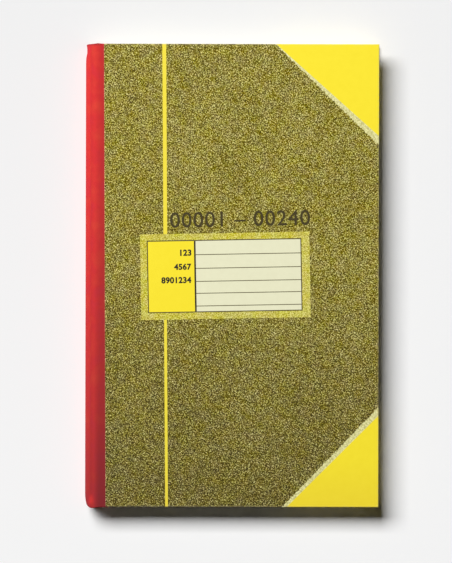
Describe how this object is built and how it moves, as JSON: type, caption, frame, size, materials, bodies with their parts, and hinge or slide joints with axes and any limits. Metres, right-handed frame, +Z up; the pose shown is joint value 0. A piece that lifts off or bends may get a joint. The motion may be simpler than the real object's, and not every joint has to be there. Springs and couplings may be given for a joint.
{
  "type": "register book",
  "caption": "Hard-cover register book with a rounded cloth spine, printed paper sides, sewn ruled pages, and covers and first leaves that turn on hinges.",
  "frame": {"origin": "middle of the closed book's footprint, on the outside of the back cover", "axes": "+X from the spine to the fore edge, +Y from tail to head, +Z up from the back cover to the front cover"},
  "size_m": [0.2094, 0.33, 0.018],
  "materials": {
    "cover_paper": "satin",
    "book_cloth": "matte",
    "board": "matte",
    "endpaper": "matte",
    "page_paper": "matte",
    "gauze": "matte",
    "spine_card": "matte",
    "kraft_paper": "matte",
    "thread": "matte"
  },
  "bodies": {
    "text_block": {"spine_cloth": "book_cloth", "spine_card": "spine_card", "spine_lining": "kraft_paper", "mull": "gauze", "sewing_thread": "thread", "front_endpaper_tip": "endpaper", "back_flyleaf": "endpaper", "section_1": "page_paper", "section_2": "page_paper", "section_3": "page_paper", "section_4": "page_paper", "section_5": "page_paper", "section_6": "page_paper", "section_7": "page_paper", "section_8": "page_paper", "section_9": "page_paper", "section_10": "page_paper"},
    "front_cover": {"front_board": "board", "front_cover_paper": "cover_paper", "front_cloth_wing": "book_cloth", "front_pastedown": "endpaper", "front_mull_flap": "gauze"},
    "back_cover": {"back_board": "board", "back_cover_paper": "cover_paper", "back_cloth_wing": "book_cloth", "back_pastedown": "endpaper", "back_mull_flap": "gauze"},
    "front_flyleaf": {"front_flyleaf": "endpaper"},
    "leaf_1": {"leaf_1": "page_paper"},
    "leaf_2": {"leaf_2": "page_paper"},
    "leaf_3": {"leaf_3": "page_paper"}
  },
  "joints": [
    {"name": "front_cover_hinge", "type": "hinge", "parent": "text_block", "child": "front_cover", "pos_m": [-0.10108, 0, 0.0162], "axis": [0, -1, 0], "range_deg": [0, 182.5]},
    {"name": "back_cover_hinge", "type": "hinge", "parent": "text_block", "child": "back_cover", "pos_m": [-0.10108, 0, 0.0018], "axis": [0, 1, 0], "range_deg": [0, 180]},
    {"name": "flyleaf_turn", "type": "hinge", "parent": "text_block", "child": "front_flyleaf", "pos_m": [-0.09675, 0, 0.01509], "axis": [0, -1, 0], "range_deg": [0, 150]},
    {"name": "leaf_1_turn", "type": "hinge", "parent": "text_block", "child": "leaf_1", "pos_m": [-0.09595, 0, 0.01495], "axis": [0, -1, 0], "range_deg": [0, 110]},
    {"name": "leaf_2_turn", "type": "hinge", "parent": "text_block", "child": "leaf_2", "pos_m": [-0.09515, 0, 0.01482], "axis": [0, -1, 0], "range_deg": [0, 70]},
    {"name": "leaf_3_turn", "type": "hinge", "parent": "text_block", "child": "leaf_3", "pos_m": [-0.09435, 0, 0.01469], "axis": [0, -1, 0], "range_deg": [0, 33]}
  ],
  "couplings": [
    {"joint": "flyleaf_turn", "follows": "front_cover_hinge", "ratio": 0.82},
    {"joint": "leaf_1_turn", "follows": "front_cover_hinge", "ratio": 0.6},
    {"joint": "leaf_2_turn", "follows": "front_cover_hinge", "ratio": 0.38},
    {"joint": "leaf_3_turn", "follows": "front_cover_hinge", "ratio": 0.18}
  ]
}
